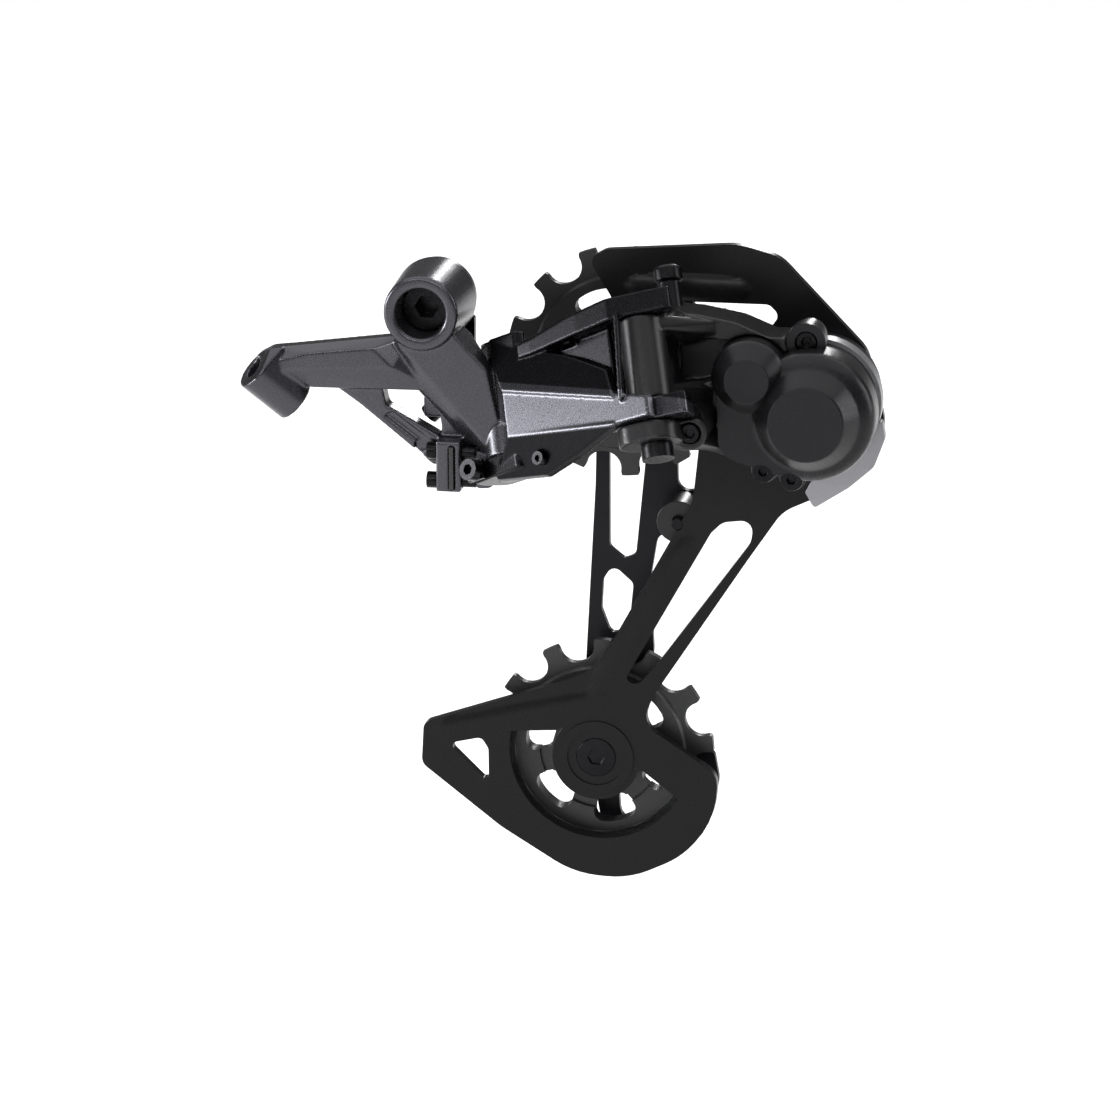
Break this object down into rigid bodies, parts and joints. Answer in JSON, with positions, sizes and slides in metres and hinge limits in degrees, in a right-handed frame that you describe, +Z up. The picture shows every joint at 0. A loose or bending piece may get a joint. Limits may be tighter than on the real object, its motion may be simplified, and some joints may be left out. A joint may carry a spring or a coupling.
{
  "type": "rear bicycle derailleur",
  "caption": "Long-cage rear derailleur with a swinging bracket, a parallelogram linkage, a clutch body and two toothed pulleys in a sprung cage.",
  "frame": {"origin": "centre of the hanger bolt where the stopper plate meets the frame's hanger", "axes": "+Y along the hanger bolt, into the frame; +Z up; +X towards the front of the derailleur's linkage, away from the cable stop"},
  "size_m": [0.1542, 0.0654, 0.1618],
  "materials": {
    "grey_paint": "satin",
    "dark_paint": "satin",
    "dark_plastic": "matte",
    "lever_plastic": "satin",
    "pulley_plastic": "matte",
    "steel": "machined",
    "black_steel": "black oxide",
    "bronze": "sintered",
    "rubber": "matte"
  },
  "bodies": {
    "mount": {"hanger_bolt": "black_steel", "stopper_plate": "steel", "bolt_clip": "steel"},
    "bracket": {"bracket_body": "grey_paint", "bracket_bush": "bronze", "bracket_o_rings": "rubber", "outer_rear_pin": "steel", "inner_rear_pin": "steel", "screw_lock_plate": "dark_plastic"},
    "b_tension_screw": {"b_tension_screw": "black_steel"},
    "high_limit_screw": {"high_limit_screw": "black_steel"},
    "low_limit_screw": {"low_limit_screw": "black_steel"},
    "outer_link": {"outer_link_body": "grey_paint", "cable_clamp_bolt": "steel", "cable_clamp_plate": "steel", "link_stop_screw": "steel"},
    "inner_link": {"inner_link_body": "dark_paint"},
    "p_body": {"body_housing": "dark_paint", "clutch_cover": "dark_plastic", "cover_screws": "black_steel", "cover_gasket": "rubber", "outer_front_pin": "steel", "inner_front_pin": "steel", "return_spring": "steel", "body_post": "black_steel", "friction_band": "steel", "friction_screw": "steel", "axle_bush": "bronze", "cage_spring": "steel", "pin_caps": "black_steel"},
    "clutch_lever": {"clutch_lever": "lever_plastic"},
    "cage": {"outer_plate": "dark_paint", "inner_plate": "dark_paint", "cage_axle": "steel", "roller_clutch": "steel", "axle_screw": "steel", "guide_pulley_bolt": "black_steel", "tension_pulley_bolt": "black_steel", "plate_stay": "dark_paint", "stay_screw": "black_steel", "cage_stop_pin": "steel", "guide_bush": "steel", "guide_caps": "dark_paint", "tension_caps": "dark_paint", "bearing_inner_race": "steel"},
    "guide_pulley": {"guide_pulley": "pulley_plastic"},
    "tension_pulley": {"tension_pulley": "pulley_plastic", "bearing_outer_race": "steel", "bearing_balls": "steel"}
  },
  "joints": [
    {"name": "b_pivot", "type": "hinge", "parent": "mount", "child": "bracket", "pos_m": [0, 0, 0], "axis": [0, 1, 0], "range_deg": [0, 10]},
    {"name": "outer_link_pivot", "type": "hinge", "parent": "bracket", "child": "outer_link", "pos_m": [0.0184, -0.014, -0.0249], "axis": [-0.2004, 0.454, 0.8682], "range_deg": [0, 60], "stiffness_Nm_per_rad": 0.3, "springref_deg": -45.84},
    {"name": "inner_link_pivot", "type": "hinge", "parent": "bracket", "child": "inner_link", "pos_m": [0.02065, -0.00286, -0.0302], "axis": [-0.2004, 0.454, 0.8682], "range_deg": [0, 60]},
    {"name": "body_pivot", "type": "hinge", "parent": "outer_link", "child": "p_body", "pos_m": [0.05536, -0.03057, -0.0077], "axis": [-0.2004, 0.454, 0.8682], "range_deg": [-60, 0]},
    {"name": "cage_pivot", "type": "hinge", "parent": "p_body", "child": "cage", "pos_m": [0.0928, -0.01, -0.0205], "axis": [0, -1, 0], "range_deg": [0, 95], "stiffness_Nm_per_rad": 0.2, "springref_deg": -85.94},
    {"name": "clutch_lever_pivot", "type": "hinge", "parent": "p_body", "child": "clutch_lever", "pos_m": [0.0928, -0.0067, -0.0205], "axis": [0, -1, 0], "range_deg": [0, 50]},
    {"name": "guide_pulley_spin", "type": "hinge", "parent": "cage", "child": "guide_pulley", "pos_m": [0.0431, 0.012, -0.0174], "axis": [0, 1, 0], "continuous": true},
    {"name": "tension_pulley_spin", "type": "hinge", "parent": "cage", "child": "tension_pulley", "pos_m": [0.038, 0.012, -0.1167], "axis": [0, 1, 0], "continuous": true},
    {"name": "b_screw_turn", "type": "hinge", "parent": "bracket", "child": "b_tension_screw", "pos_m": [-0.0016, -0.005, -0.0286], "axis": [0.7071, 0, 0.7071], "range_deg": [-720, 720]},
    {"name": "high_limit_turn", "type": "hinge", "parent": "bracket", "child": "high_limit_screw", "pos_m": [0.0012, -0.0174, -0.0342], "axis": [1, 0, 0], "range_deg": [-720, 720]},
    {"name": "low_limit_turn", "type": "hinge", "parent": "bracket", "child": "low_limit_screw", "pos_m": [0.0012, -0.0174, -0.0414], "axis": [1, 0, 0], "range_deg": [-720, 720]}
  ],
  "couplings": [
    {"joint": "inner_link_pivot", "follows": "outer_link_pivot", "ratio": 1},
    {"joint": "body_pivot", "follows": "outer_link_pivot", "ratio": -1}
  ]
}
